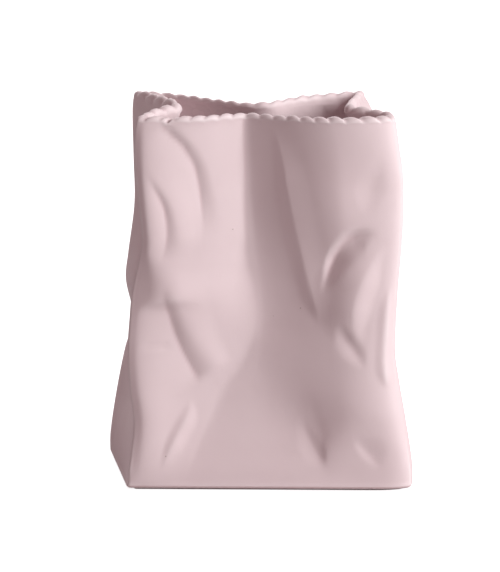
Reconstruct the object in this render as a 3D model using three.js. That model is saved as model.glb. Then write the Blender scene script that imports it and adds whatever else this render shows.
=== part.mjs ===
// A porcelain flower vase in the form of a crumpled paper bag with tucked-in sides and a pinked rim.
// Millimetres, +Z up. The vase stands on z = 0 and its front faces -Y.
import * as THREE from "three";
import { mergeVertices } from "three/addons/utils/BufferGeometryUtils.js";

// The bag as a whole
const BAG_HEIGHT = 217;
const FOOT_WIDTH = 177;
const FOOT_DEPTH = 96;
const WALL = 4.5;
const FLOOR = 6;
const SEAM = 0.3;

// How far the sides are tucked in and the faces pushed in or out
const LEFT_TUCK = 22;
const RIGHT_TUCK = 20;
const FRONT_DENT = 12;
const FRONT_BULGE = 3;
const BACK_DENT = 38;
const LIP_CURL = 5;

// The creases: lift and reach of a crease whose rise and widths are 1
const CREASE_LIFT = 1;
const CREASE_REACH = 10;

// The pinked rim
const TOOTH_PITCH = 8.6;
const TOOTH_HEIGHT = 2.4;
const TOOTH_ROOT = 5;
const NOTCH_DROP = 1;
const BACK_RISE = 2.2;

// Spacing of the rows of points up a wall
const ROW_STEP = 10;

const { clamp, lerp, smoothstep } = THREE.MathUtils;

// A smooth curve up the bag, through rows of [share of the height, values...].
function rising(rows) {
  const heights = rows.map((row) => row[0]);
  const values = rows.flatMap((row) => row.slice(1));
  const spline = new THREE.CubicInterpolant(heights, values, rows[0].length - 1);
  return (up) => Array.from(spline.evaluate(clamp(up, 0, 1)));
}

// A corner fold: rows of [share of the height, share of the half width, share of the half depth].
function cornerFold(rows) {
  const curve = rising(rows);
  return (up) => {
    const [across, deep] = curve(up);
    return new THREE.Vector2((across * FOOT_WIDTH) / 2, (deep * FOOT_DEPTH) / 2);
  };
}

const frontLeft = cornerFold([
  [0, -0.865, -0.92],
  [0.06, -0.85, -0.9],
  [0.18, -0.82, -0.86],
  [0.28, -0.848, -0.83],
  [0.38, -0.858, -0.8],
  [0.46, -0.845, -0.78],
  [0.52, -0.832, -0.765],
  [0.57, -0.81, -0.765],
  [0.62, -0.782, -0.79],
  [0.68, -0.763, -0.82],
  [0.86, -0.808, -0.83],
  [0.95, -0.808, -0.85],
  [1, -0.79, -0.87],
]);

const frontRight = cornerFold([
  [0, 1, -1],
  [0.07, 0.995, -0.98],
  [0.18, 0.953, -0.945],
  [0.3, 0.903, -0.915],
  [0.37, 0.88, -0.91],
  [0.54, 0.896, -0.9],
  [0.7, 0.924, -0.89],
  [0.84, 0.924, -0.885],
  [0.92, 0.892, -0.88],
  [1, 0.85, -0.87],
]);

const backRight = cornerFold([
  [0, 0.92, 1],
  [0.3, 0.86, 0.95],
  [0.6, 0.82, 0.88],
  [0.85, 0.785, 0.8],
  [0.94, 0.755, 0.78],
  [1, 0.69, 0.77],
]);

const backLeft = cornerFold([
  [0, -1, 0.96],
  [0.06, -1, 0.96],
  [0.18, -0.96, 0.95],
  [0.3, -0.9, 0.94],
  [0.36, -0.853, 0.935],
  [0.4, -0.848, 0.93],
  [0.49, -0.895, 0.92],
  [0.56, -0.88, 0.91],
  [0.7, -0.84, 0.9],
  [0.82, -0.845, 0.9],
  [0.95, -0.85, 0.91],
  [1, -0.84, 0.92],
]);

// Share of the full tuck at each height, and where the crease lies between the front and back folds.
const tuckRise = rising([
  [0, 0, 0.5],
  [0.12, 0.06, 0.49],
  [0.3, 0.36, 0.46],
  [0.5, 0.62, 0.42],
  [0.75, 0.85, 0.36],
  [1, 1, 0.32],
]);

// The crease down the middle of a side, tucked in towards the middle of the bag.
function sideCrease(front, back, tuck, inward) {
  return (up) => {
    const [share, along] = tuckRise(up);
    const point = front(up).lerp(back(up), along);
    point.x += inward * tuck * share;
    return point;
  };
}

const leftCrease = sideCrease(frontLeft, backLeft, LEFT_TUCK, 1);
const rightCrease = sideCrease(frontRight, backRight, RIGHT_TUCK, -1);

// A bend inside a panel. Rows are [share of the height, place across the panel, share of the depth], and
// the depth is inward. Softness is how much of the neighbouring stretches the bend rounds off; a row may
// end with a softness of its own.
function bend(depth, softness, rows) {
  const fullRows = rows.map(([up, across, share, own = softness]) => [up, across, share, own]);
  return { depth, curve: rising(fullRows) };
}

const frontBends = [
  bend(FRONT_BULGE, 0.45, [
    [0, 0.05, 0],
    [0.06, 0.05, -0.5],
    [0.1, 0.05, -0.7],
    [0.2, 0.05, -0.9],
    [0.3, 0.05, -0.8],
    [0.4, 0.05, -0.6],
    [0.45, 0.05, -0.6],
    [0.485, 0.06, -0.8],
    [0.51, 0.12, -1.7],
    [0.55, 0.13, -1.9],
    [0.6, 0.1, -1.5],
    [0.64, 0.07, -1.1],
    [0.72, 0.05, -1],
    [0.85, 0.05, -1],
    [0.94, 0.045, -0.8],
    [1, 0.04, -0.3],
  ]),
  bend(FRONT_DENT, 0.45, [
    [0, 0.15, 0],
    [0.05, 0.16, 0.05],
    [0.1, 0.17, 0.14],
    [0.16, 0.18, 0.22],
    [0.27, 0.2, 0.24],
    [0.38, 0.23, 0.2],
    [0.49, 0.27, 0.1],
    [0.54, 0.27, 0.1],
    [0.6, 0.25, 0.18],
    [0.7, 0.22, 0.28],
    [0.81, 0.22, 0.31],
    [0.92, 0.22, 0.22],
    [1, 0.23, 0.1],
  ]),
  bend(FRONT_DENT, 0.12, [
    [0, 0.2, 0],
    [0.05, 0.215, 0.09],
    [0.1, 0.235, 0.26],
    [0.16, 0.27, 0.41],
    [0.21, 0.305, 0.5],
    [0.27, 0.35, 0.56],
    [0.32, 0.405, 0.61],
    [0.36, 0.437, 0.64, 0.15],
    [0.42, 0.452, 0.68, 0.35],
    [0.48, 0.447, 0.71, 0.4],
    [0.54, 0.43, 0.75, 0.35],
    [0.6, 0.404, 0.8, 0.2],
    [0.65, 0.392, 0.86, 0.15],
    [0.75, 0.394, 0.92],
    [0.9, 0.411, 0.925],
    [1, 0.411, 0.91],
  ]),
  bend(FRONT_DENT, 0.5, [
    [0, 0.67, 0],
    [0.05, 0.67, 0.08],
    [0.1, 0.655, 0.25],
    [0.16, 0.62, 0.42],
    [0.21, 0.58, 0.47],
    [0.27, 0.54, 0.49],
    [0.32, 0.52, 0.51],
    [0.38, 0.52, 0.57],
    [0.43, 0.525, 0.65],
    [0.48, 0.525, 0.66],
    [0.54, 0.51, 0.66],
    [0.6, 0.49, 0.65],
    [0.65, 0.465, 0.7],
    [0.75, 0.445, 0.78],
    [0.9, 0.445, 0.84],
    [1, 0.44, 0.87],
  ]),
  bend(FRONT_BULGE, 0.45, [
    [0, 0.72, 0],
    [0.05, 0.72, 0.2],
    [0.1, 0.715, -0.05],
    [0.16, 0.755, -0.6],
    [0.21, 0.775, -0.9],
    [0.27, 0.77, -0.9],
    [0.35, 0.76, -0.6],
    [0.43, 0.75, -0.3],
    [0.5, 0.75, -0.1],
    [0.6, 0.74, -0.3],
    [0.7, 0.75, -1.05],
    [0.75, 0.755, -1.35],
    [0.81, 0.745, -1.45],
    [0.87, 0.735, -1.35],
    [0.93, 0.725, -1.25],
    [1, 0.71, -1.35],
  ]),
  bend(FRONT_BULGE, 0.5, [
    [0, 0.9, 0],
    [0.05, 0.9, 0.1],
    [0.1, 0.9, 0.1],
    [0.16, 0.89, -0.6],
    [0.21, 0.88, -1.35],
    [0.27, 0.88, -1.45],
    [0.35, 0.88, -1.55],
    [0.43, 0.88, -1.4],
    [0.5, 0.87, -1.3],
    [0.6, 0.87, -1.2],
    [0.7, 0.87, -1.1],
    [0.75, 0.87, -0.95],
    [0.81, 0.87, -0.9],
    [0.87, 0.88, -1.35],
    [0.93, 0.88, -1.75],
    [1, 0.87, -2],
  ]),
];

const backBends = [
  bend(BACK_DENT, 0.4, [
    [0, 0.27, 0],
    [0.35, 0.26, 0.02],
    [0.6, 0.26, 0.12],
    [0.8, 0.27, 0.26],
    [1, 0.27, 0.4],
  ]),
  bend(BACK_DENT, 0.4, [
    [0, 0.45, 0],
    [0.15, 0.45, 0.04],
    [0.35, 0.44, 0.16],
    [0.55, 0.45, 0.4],
    [0.75, 0.46, 0.66],
    [1, 0.45, 1],
  ]),
  bend(BACK_DENT, 0.3, [
    [0, 0.8, 0],
    [0.35, 0.8, 0.02],
    [0.6, 0.82, 0.05],
    [0.8, 0.83, 0.02],
    [1, 0.84, 0],
  ]),
];

// The front half of a tucked side curls outward a little towards the rim.
const lipBends = [
  bend(LIP_CURL, 0.45, [
    [0, 0.5, 0],
    [0.3, 0.5, 0.1],
    [0.6, 0.5, 0],
    [1, 0.5, -1],
  ]),
];

// The back half of a tucked side bellies slightly at mid height.
const bellyBends = [
  bend(LIP_CURL, 0.45, [
    [0, 0.5, 0],
    [0.2, 0.5, 0.2],
    [0.5, 0.5, -0.5],
    [0.75, 0.5, 0.3],
    [1, 0.5, 0],
  ]),
];

// The smooth path of a crease through points given in shares across and up the panel.
function flowing(path) {
  const points = path.map(([across, up]) => new THREE.Vector2(across, up));
  return new THREE.SplineCurve(points).getPoints(24);
}

// A crease raised on or pressed into a panel. Rise and the widths to either side of it, the second on
// the right of a falling path, are shares of a crease's size, and ends are the shares over which it fades.
function crease(path, rise, widths, ends, sharpness) {
  const lift = ({ distance, reach, fade }) => {
    const near = clamp(1 - distance / (reach * (0.4 + 0.6 * fade)), 0, 1);
    return CREASE_LIFT * rise * lerp(smoothstep(near, 0, 1), near * near, sharpness);
  };
  return { points: flowing(path), widths, ends, lift };
}

// A pleat: a sharp valley with a soft bank climbing on its right, narrow at first and wider further on.
function pleat(path, drop, rise, bank, widths, ends) {
  const lift = ({ distance, reach, place, onRight }) => {
    const climb = CREASE_REACH * bank * (0.5 + place);
    const bottom = CREASE_LIFT * -drop;
    const top = CREASE_LIFT * rise;
    if (!onRight) return bottom * clamp(1 - distance / reach, 0, 1) ** 2;
    if (distance < climb) return lerp(bottom, top, Math.sin((Math.PI / 2) * (distance / climb)));
    return top * smoothstep(reach - distance, 0, reach - climb);
  };
  return { points: flowing(path), widths, ends, lift };
}

const frontCreases = [
  pleat(
    [[0.085, 0.98], [0.145, 0.95], [0.188, 0.916], [0.223, 0.867], [0.233, 0.813], [0.236, 0.758],
     [0.233, 0.7], [0.226, 0.64]],
    1.1, 0.6, 0.8, [1.7, 3], [0.15, 0.4],
  ),
  pleat(
    [[0.03, 0.86], [0.065, 0.813], [0.093, 0.763], [0.1, 0.71], [0.095, 0.655], [0.085, 0.605]],
    0.8, 0.5, 0.6, [1, 1.8], [0.4, 0.3],
  ),
  pleat(
    [[0.115, 0.545], [0.128, 0.52], [0.17, 0.455], [0.21, 0.39], [0.248, 0.325], [0.268, 0.285]],
    1.1, 1.1, 0.9, [2, 2.4], [0.3, 0.15],
  ),
  crease([[0.21, 0.23], [0.18, 0.16], [0.15, 0.106], [0.128, 0.065]], 0.9, [0.4, 0.8], [0.4, 0.4], 0.2),
  crease(
    [[0.513, 0.98], [0.537, 0.935], [0.552, 0.88], [0.56, 0.81], [0.574, 0.745], [0.587, 0.677],
     [0.615, 0.617], [0.654, 0.554], [0.69, 0.492]],
    0.9, [0.8, 1.4], [0.35, 0.2], 0.6,
  ),
  crease(
    [[0.885, 0.688], [0.85, 0.692], [0.812, 0.684], [0.775, 0.662], [0.746, 0.625], [0.729, 0.58],
     [0.714, 0.532]],
    -2.8, [0.6, 1.2], [0.45, 0.35], 0.3,
  ),
  crease(
    [[0.9, 0.663], [0.874, 0.609], [0.856, 0.554], [0.849, 0.5], [0.851, 0.445], [0.865, 0.38]],
    1.9, [1.4, 0.9], [0.4, 0.35], 0.3,
  ),
  crease([[0.945, 0.554], [0.95, 0.486], [0.952, 0.405], [0.945, 0.323]], 2.2, [0.5, 0.7], [0.3, 0.3], 0.3),
  crease([[0.766, 0.454], [0.795, 0.41], [0.83, 0.372], [0.857, 0.334]], -1.2, [0.8, 0.6], [0.4, 0.4], 0.3),
  crease([[0.908, 0.9], [0.87, 0.84], [0.852, 0.785], [0.848, 0.742]], -0.6, [0.9, 0.9], [0.5, 0.5], 0),
  crease([[0.61, 0.19], [0.633, 0.145], [0.66, 0.1], [0.68, 0.065]], -0.6, [1, 0.6], [0.5, 0.3], 0.3),
  crease([[0.795, 0.145], [0.825, 0.118], [0.853, 0.09], [0.88, 0.06]], -0.7, [0.5, 1.3], [0.4, 0.4], 0.3),
];

const backCreases = [
  crease([[0.2, 0.98], [0.24, 0.8], [0.22, 0.62]], 2.4, [1, 1.1], [0.1, 0.5], 0.4),
  crease([[0.66, 0.95], [0.68, 0.75], [0.76, 0.55], [0.84, 0.45]], -2.4, [1.2, 1], [0.2, 0.4], 0.6),
  crease([[0.16, 0.52], [0.25, 0.4], [0.3, 0.28]], -2.4, [1.1, 0.9], [0.4, 0.4], 0.5),
  crease([[0.62, 0.46], [0.7, 0.34], [0.82, 0.26]], 2, [1.1, 1.1], [0.4, 0.4], 0.4),
];

// A wall from one fold to the next. Tooth is the size of its rim teeth as a share of the full height, and
// rises are the shares of the back's extra height at its start, middle and end.
const panelOf = (name, from, to, bends, creases, tooth, rises) => {
  return { name, from, to, bends, creases, tooth, rises };
};

// The walls, in order round the bag as seen from above.
const panels = [
  panelOf("front_panel", frontLeft, frontRight, frontBends, frontCreases, 0.7, [0, 0, 0]),
  panelOf("right_gusset_front", frontRight, rightCrease, lipBends, [], 0.8, [0, 0.5, 1]),
  panelOf("right_gusset_back", rightCrease, backRight, bellyBends, [], 0.7, [1, 1, 1]),
  panelOf("back_panel", backRight, backLeft, backBends, backCreases, 0.5, [1, 0, 0]),
  panelOf("left_gusset_back", backLeft, leftCrease, bellyBends, [], 1.5, [0, 0.5, 1]),
  panelOf("left_gusset_front", leftCrease, frontLeft, lipBends, [], 0.9, [1, 0.5, 0]),
];

const direction = (from, to) => to.clone().sub(from).normalize();
const outwardOf = (heading) => new THREE.Vector2(heading.y, -heading.x);

// The points that a panel runs through at one height.
function stationsAt(panel, up) {
  const from = panel.from(up);
  const to = panel.to(up);
  const outward = outwardOf(direction(from, to));
  const inner = panel.bends.map(({ depth, curve }) => {
    const [across, share] = curve(up);
    return from.clone().lerp(to, across).addScaledVector(outward, -depth * share);
  });
  return [from, ...inner, to];
}

// Every panel has a whole number of rim teeth.
for (const panel of panels) {
  const stations = stationsAt(panel, 1);
  const lengths = stations.slice(1).map((station, index) => station.distanceTo(stations[index]));
  const rimLength = lengths.reduce((sum, length) => sum + length, 0);
  panel.teeth = Math.max(2, Math.round(rimLength / TOOTH_PITCH));
}

// The line through the stations at one height, with its bends rounded.
function roundedLine(panel, stations, up) {
  const line = new THREE.Path().moveTo(stations[0].x, stations[0].y);
  panel.bends.forEach(({ curve }, index) => {
    const corner = stations[index + 1];
    const softness = curve(up)[2];
    const enter = corner.clone().lerp(stations[index], softness);
    const leave = corner.clone().lerp(stations[index + 2], softness);
    line.lineTo(enter.x, enter.y).quadraticCurveTo(corner.x, corner.y, leave.x, leave.y);
  });
  return line.lineTo(stations.at(-1).x, stations.at(-1).y);
}

// The point at a share of the line's length; past either end the line runs on straight.
function alongLine(line, share) {
  const inside = clamp(share, 0, 1);
  return line.getPoint(inside).addScaledVector(line.getTangent(inside), (share - inside) * line.getLength());
}

// Where a path passes nearest to a spot, both in millimetres: how far off, on which side, how far along.
function nearestOn(path, spot) {
  let nearest = { distance: Infinity };
  for (let index = 1; index < path.length; index += 1) {
    const leg = path[index].clone().sub(path[index - 1]);
    const offset = spot.clone().sub(path[index - 1]);
    const part = clamp(offset.dot(leg) / leg.lengthSq(), 0, 1);
    const distance = offset.distanceTo(leg.clone().multiplyScalar(part));
    if (distance < nearest.distance) {
      const place = (index - 1 + part) / (path.length - 1);
      nearest = { distance, place, onRight: leg.cross(offset) > 0 };
    }
  }
  return nearest;
}

// How far the creases lift the panel at a place given in shares across and up it.
function panelLift(panel, width, across, up) {
  const scale = new THREE.Vector2(width, BAG_HEIGHT);
  const spot = new THREE.Vector2(across, up).multiply(scale);
  let total = 0;
  for (const { points, widths, ends, lift } of panel.creases) {
    const path = points.map((point) => point.clone().multiply(scale));
    const nearest = nearestOn(path, spot);
    const fade = smoothstep(nearest.place, 0, ends[0]) * smoothstep(1 - nearest.place, 0, ends[1]);
    const reach = CREASE_REACH * (nearest.onRight ? widths[1] : widths[0]);
    total += fade * lift({ ...nearest, reach, fade });
  }
  return total;
}

// What happens at a panel's two corners at one height: its headings there, where the inside corner
// falls, and how much is taken off each end for the mitre and for half of the seam.
function cornersAt(panel, previous, next, up) {
  const own = stationsAt(panel, up);
  const before = stationsAt(previous, up);
  const after = stationsAt(next, up);
  const startHeading = direction(own[0], own[1]);
  const endHeading = direction(own.at(-2), own.at(-1));
  const corner = (incoming, leaving) => {
    const facing = outwardOf(incoming).dot(outwardOf(leaving));
    const turn = incoming.cross(leaving);
    const mitre = (WALL * turn) / (1 + facing);
    const seam = SEAM / 2 / Math.sqrt((1 + facing) / 2);
    return { mitre, seam };
  };
  const start = corner(direction(before.at(-2), before.at(-1)), startHeading);
  const end = corner(endHeading, direction(after[0], after[1]));
  const line = roundedLine(panel, own, up);
  const length = line.getLength();
  return {
    stations: own,
    line,
    startOutward: outwardOf(startHeading),
    endOutward: outwardOf(endHeading),
    outer: [start.seam / length, 1 - end.seam / length],
    inner: [(start.seam + start.mitre) / length, 1 - (end.seam + end.mitre) / length],
  };
}

// One point of a wall. Share runs along the panel, and skin is "outer" or "inner".
function wallPoint(panel, level, share, skin) {
  const { stations, line, startOutward, endOutward, up } = level;
  const [first, last] = level[skin];
  const point = alongLine(line, lerp(first, last, share));
  const from = stations[0];
  const to = stations.at(-1);
  const heading = direction(from, to);
  const width = from.distanceTo(to);
  const across = point.clone().sub(from).dot(heading) / width;
  const clear = smoothstep(share, 0, 0.08) * smoothstep(1 - share, 0, 0.08);
  point.addScaledVector(outwardOf(heading), clear * panelLift(panel, width, across, up));
  if (skin === "inner") {
    const outward = startOutward.clone().lerp(endOutward, smoothstep(share, 0, 1)).normalize();
    point.addScaledVector(outward, -WALL);
  }
  return point;
}

// Heights of the rows of points: even steps up to the roots of the teeth, then the rim.
function rowHeights() {
  const foot = FLOOR + SEAM;
  const roots = BAG_HEIGHT - TOOTH_ROOT;
  const steps = Math.ceil((roots - foot) / ROW_STEP);
  const heights = Array.from({ length: steps + 1 }, (_, step) => lerp(foot, roots, step / steps));
  return [...heights, BAG_HEIGHT];
}

// Height of the rim at a column: teeth on the even columns, going over into the next panel's at a corner.
function rimHeight(panel, previous, next, column) {
  const share = column / (panel.teeth * 2);
  const [first, middle, last] = panel.rises;
  const neighbour = share < 0.5 ? previous : next;
  const size = lerp(panel.tooth, (panel.tooth + neighbour.tooth) / 2, Math.abs(2 * share - 1));
  const rise = share < 0.5 ? lerp(first, middle, 2 * share) : lerp(middle, last, 2 * share - 1);
  const tooth = column % 2 === 0 ? TOOTH_HEIGHT * size : 0;
  return BAG_HEIGHT - NOTCH_DROP + tooth + BACK_RISE * rise;
}

// A wall is a box of rows and columns whose front and back are moved onto its outer and inner skins.
function wallGeometry(panel, previous, next) {
  const heights = rowHeights();
  const rows = heights.length - 1;
  const columns = panel.teeth * 2;
  const levels = heights.map((height) => {
    const up = height / BAG_HEIGHT;
    return { ...cornersAt(panel, previous, next, up), up };
  });
  const box = new THREE.BoxGeometry(1, 1, 1, columns, rows, 1);
  box.deleteAttribute("uv");
  box.deleteAttribute("normal");
  const places = box.getAttribute("position");
  for (let index = 0; index < places.count; index += 1) {
    const column = Math.round((places.getX(index) + 0.5) * columns);
    const row = Math.round((places.getY(index) + 0.5) * rows);
    const skin = places.getZ(index) > 0 ? "outer" : "inner";
    const point = wallPoint(panel, levels[row], column / columns, skin);
    const height = row === rows ? rimHeight(panel, previous, next, column) : heights[row];
    places.setXYZ(index, point.x, point.y, height);
  }
  const geometry = mergeVertices(box, 1e-3);
  geometry.computeVertexNormals();
  return geometry;
}

// The foot: the four corners joined by straight edges, as thick as the floor.
function footGeometry() {
  const outline = new THREE.Shape([frontLeft(0), frontRight(0), backRight(0), backLeft(0)]);
  return new THREE.ExtrudeGeometry(outline, { depth: FLOOR, bevelEnabled: false });
}

const porcelain = () => new THREE.MeshStandardMaterial({ color: 0xe3cdd1, roughness: 0.75, metalness: 0 });

const bag = new THREE.Group();
bag.name = "paper_bag_vase";

panels.forEach((panel, index) => {
  const previous = panels.at(index - 1);
  const next = panels[(index + 1) % panels.length];
  const wall = new THREE.Mesh(wallGeometry(panel, previous, next), porcelain());
  wall.name = panel.name;
  bag.add(wall);
});

const foot = new THREE.Mesh(footGeometry(), porcelain());
foot.name = "base_slab";
bag.add(foot);

// The middle of the whole vase stands over the origin.
const middle = new THREE.Box3().setFromObject(bag).getCenter(new THREE.Vector3());
bag.position.set(-middle.x, -middle.y, 0);

export default bag;
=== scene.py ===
# %% [markdown]
# # A porcelain vase in the form of a crumpled paper bag
# The real vase is slip-cast: liquid clay stands in a plaster mould until a thin wall has set, so the
# outside, the pinked rim and the inside are one unbroken skin. The frame holds the walls as separate
# solids for collision. Here they are replaced by that one skin, which is where all the looks are.

# %% Load the frame
import math
from types import SimpleNamespace

import bmesh
import bpy
import numpy as np
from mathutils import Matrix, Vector


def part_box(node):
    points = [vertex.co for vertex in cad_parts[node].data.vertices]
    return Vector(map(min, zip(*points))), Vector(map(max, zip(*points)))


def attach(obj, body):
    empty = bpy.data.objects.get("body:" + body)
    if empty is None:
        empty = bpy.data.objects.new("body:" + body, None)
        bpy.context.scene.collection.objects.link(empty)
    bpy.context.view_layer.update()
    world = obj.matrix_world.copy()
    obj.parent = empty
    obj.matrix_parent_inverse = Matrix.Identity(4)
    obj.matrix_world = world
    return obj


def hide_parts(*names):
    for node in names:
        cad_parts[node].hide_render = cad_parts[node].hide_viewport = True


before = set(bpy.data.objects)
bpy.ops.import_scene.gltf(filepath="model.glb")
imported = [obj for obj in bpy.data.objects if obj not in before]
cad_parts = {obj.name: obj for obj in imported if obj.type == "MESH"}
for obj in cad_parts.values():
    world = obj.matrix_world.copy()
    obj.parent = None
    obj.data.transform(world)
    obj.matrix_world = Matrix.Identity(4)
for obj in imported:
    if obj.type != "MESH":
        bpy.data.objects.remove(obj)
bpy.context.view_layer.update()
print("frame nodes:", sorted(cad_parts))

# %% [markdown]
# ## The camera
# A product photograph like this one is taken with a long lens from a few metres away, so upright
# lines stay nearly parallel. The camera looks at the broad front from a little above, low enough that
# the mouth shows as a narrow strip. The lens follows from how much of the scene fills the picture.

# %% Camera
CAMERA_DISTANCE = 3.0
CAMERA_RISE = math.radians(12)
CAMERA_AIM = Vector((-0.0058, 0, 0.1106))
PICTURE_HEIGHT = 0.330

camera_data = bpy.data.cameras.new("camera")
camera_data.sensor_width = 36
camera_data.lens = camera_data.sensor_width * CAMERA_DISTANCE / PICTURE_HEIGHT
camera = bpy.data.objects.new("camera", camera_data)
towards_camera = Vector((0, -math.cos(CAMERA_RISE), math.sin(CAMERA_RISE)))
camera.location = CAMERA_AIM + towards_camera * CAMERA_DISTANCE
camera.rotation_euler = (-towards_camera).to_track_quat("-Z", "Y").to_euler()
bpy.context.scene.collection.objects.link(camera)
bpy.context.scene.camera = camera
print("lens:", round(camera_data.lens), "mm")

# %% [markdown]
# ## The sizes of the bag
# These are the driving sizes, in millimetres. Working in millimetres keeps the numbers readable, and
# every point is brought to metres, and to its place over the frame's foot, when it goes into a mesh.

# %% Sizes
MM = 0.001
BAG_HEIGHT = 217
FOOT_WIDTH = 177
FOOT_DEPTH = 96
WALL = 4.5
FLOOR = 6
LEFT_TUCK = 22
RIGHT_TUCK = 20
FRONT_DENT = 13.5
FRONT_BULGE = 3.3
BACK_DENT = 38
LIP_CURL = 5
TOOTH_PITCH = 8.6
TOOTH_HEIGHT = 2.4
TOOTH_ROOT = 5
BACK_RISE = 2.2

foot_low, foot_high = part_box("base_slab")
FOOT_MIDDLE = (Vector(foot_low) + Vector(foot_high)) / 2
print("foot in mm:", [round(1000 * (high - low), 1) for low, high in zip(foot_low, foot_high)])

# %% [markdown]
# ## Folds that climb the bag
# A paper bag is a loop of panels between folds, and each fold wanders as it climbs. A fold is written
# as a few rows, a share of the height and the place there, with a smooth curve through them.

# %% Curves up the bag


def smooth_rise(value, low, high):
    part = np.clip((value - low) / (high - low), 0, 1)
    return part * part * (3 - 2 * part)


def rising(rows):
    heights = np.array([row[0] for row in rows], float)
    values = np.array([row[1:] for row in rows], float)
    slopes = np.empty_like(values)
    slopes[0] = (values[1] - values[0]) / (heights[1] - heights[0])
    slopes[1:-1] = (values[2:] - values[:-2]) / (heights[2:] - heights[:-2])[:, None]
    slopes[-1] = (values[-1] - values[-2]) / (heights[-1] - heights[-2])

    def at(up):
        up = min(max(up, 0), 1)
        below = int(np.clip(np.searchsorted(heights, up) - 1, 0, len(heights) - 2))
        span = heights[below + 1] - heights[below]
        part = (up - heights[below]) / span
        rest = 1 - part
        lower = (1 + 2 * part) * rest**2 * values[below] + part * rest**2 * span * slopes[below]
        upper = (1 + 2 * rest) * part**2 * values[below + 1] - rest * part**2 * span * slopes[below + 1]
        return lower + upper

    return at


print("a curve through 0, 8 and 10, a quarter up:", rising([[0, 0], [0.5, 8], [1, 10]])(0.25).round(2))

# %% Corner folds: share of the height, of the half width and of the half depth
half_foot = np.array([FOOT_WIDTH, FOOT_DEPTH]) / 2


def corner_fold(rows):
    curve = rising(rows)
    return lambda up: curve(up) * half_foot


front_left = corner_fold([
    [0, -0.865, -0.92], [0.06, -0.85, -0.9], [0.18, -0.82, -0.86], [0.28, -0.848, -0.83],
    [0.38, -0.858, -0.8], [0.46, -0.845, -0.78], [0.52, -0.832, -0.765], [0.57, -0.81, -0.765],
    [0.62, -0.782, -0.79], [0.68, -0.763, -0.82], [0.86, -0.808, -0.83], [0.95, -0.808, -0.85],
    [1, -0.79, -0.87],
])
front_right = corner_fold([
    [0, 1, -1], [0.07, 0.995, -0.98], [0.18, 0.953, -0.945], [0.3, 0.903, -0.915],
    [0.37, 0.88, -0.91], [0.54, 0.896, -0.9], [0.7, 0.924, -0.89], [0.84, 0.924, -0.885],
    [0.92, 0.897, -0.88], [1, 0.87, -0.87],
])
back_right = corner_fold([
    [0, 0.92, 1], [0.3, 0.86, 0.95], [0.6, 0.82, 0.88], [0.85, 0.785, 0.8],
    [0.94, 0.755, 0.78], [1, 0.69, 0.77],
])
back_left = corner_fold([
    [0, -1, 0.96], [0.06, -1, 0.96], [0.18, -0.96, 0.95], [0.3, -0.9, 0.94],
    [0.36, -0.853, 0.935], [0.4, -0.848, 0.93], [0.49, -0.895, 0.92], [0.56, -0.88, 0.91],
    [0.7, -0.84, 0.9], [0.82, -0.845, 0.9], [0.95, -0.85, 0.91], [1, -0.84, 0.92],
])
print("front left fold at mid height, in mm:", front_left(0.5).round(1))

# %% [markdown]
# ## The tucked sides
# Each side has a crease down its middle. At the foot the side is flat, and towards the mouth the
# crease is pushed further and further in, which closes the bag's mouth to a narrow waist.

# %% Side creases: share of the full tuck, and place between the front and back folds
tuck_rise = rising([
    [0, 0, 0.5], [0.12, 0.06, 0.49], [0.3, 0.36, 0.46],
    [0.5, 0.62, 0.42], [0.75, 0.85, 0.36], [1, 1, 0.32],
])


def side_crease(front, back, tuck, inward):
    def at(up):
        share, along = tuck_rise(up)
        place = front(up) + (back(up) - front(up)) * along
        return place + np.array([inward * tuck * share, 0])

    return at


left_crease = side_crease(front_left, back_left, LEFT_TUCK, 1)
right_crease = side_crease(front_right, back_right, RIGHT_TUCK, -1)
print("mouth between the creases, in mm:", round(right_crease(1)[0] - left_crease(1)[0], 1))

# %% [markdown]
# ## Bends across a panel
# The hand that crumpled the bag pressed its front in along one valley and left it standing out to
# either side. These broad bends run the whole height of a panel. A row gives the height, the place
# across the panel, and the share of a depth in millimetres, with the depth counted inwards. Softness
# says how far the turn at a bend is rounded; a row may bring its own.

# %% Bends


def bend(depth, softness, rows):
    full_rows = [[*row, softness] if len(row) == 3 else row for row in rows]
    return SimpleNamespace(depth=depth, curve=rising(full_rows))


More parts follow.
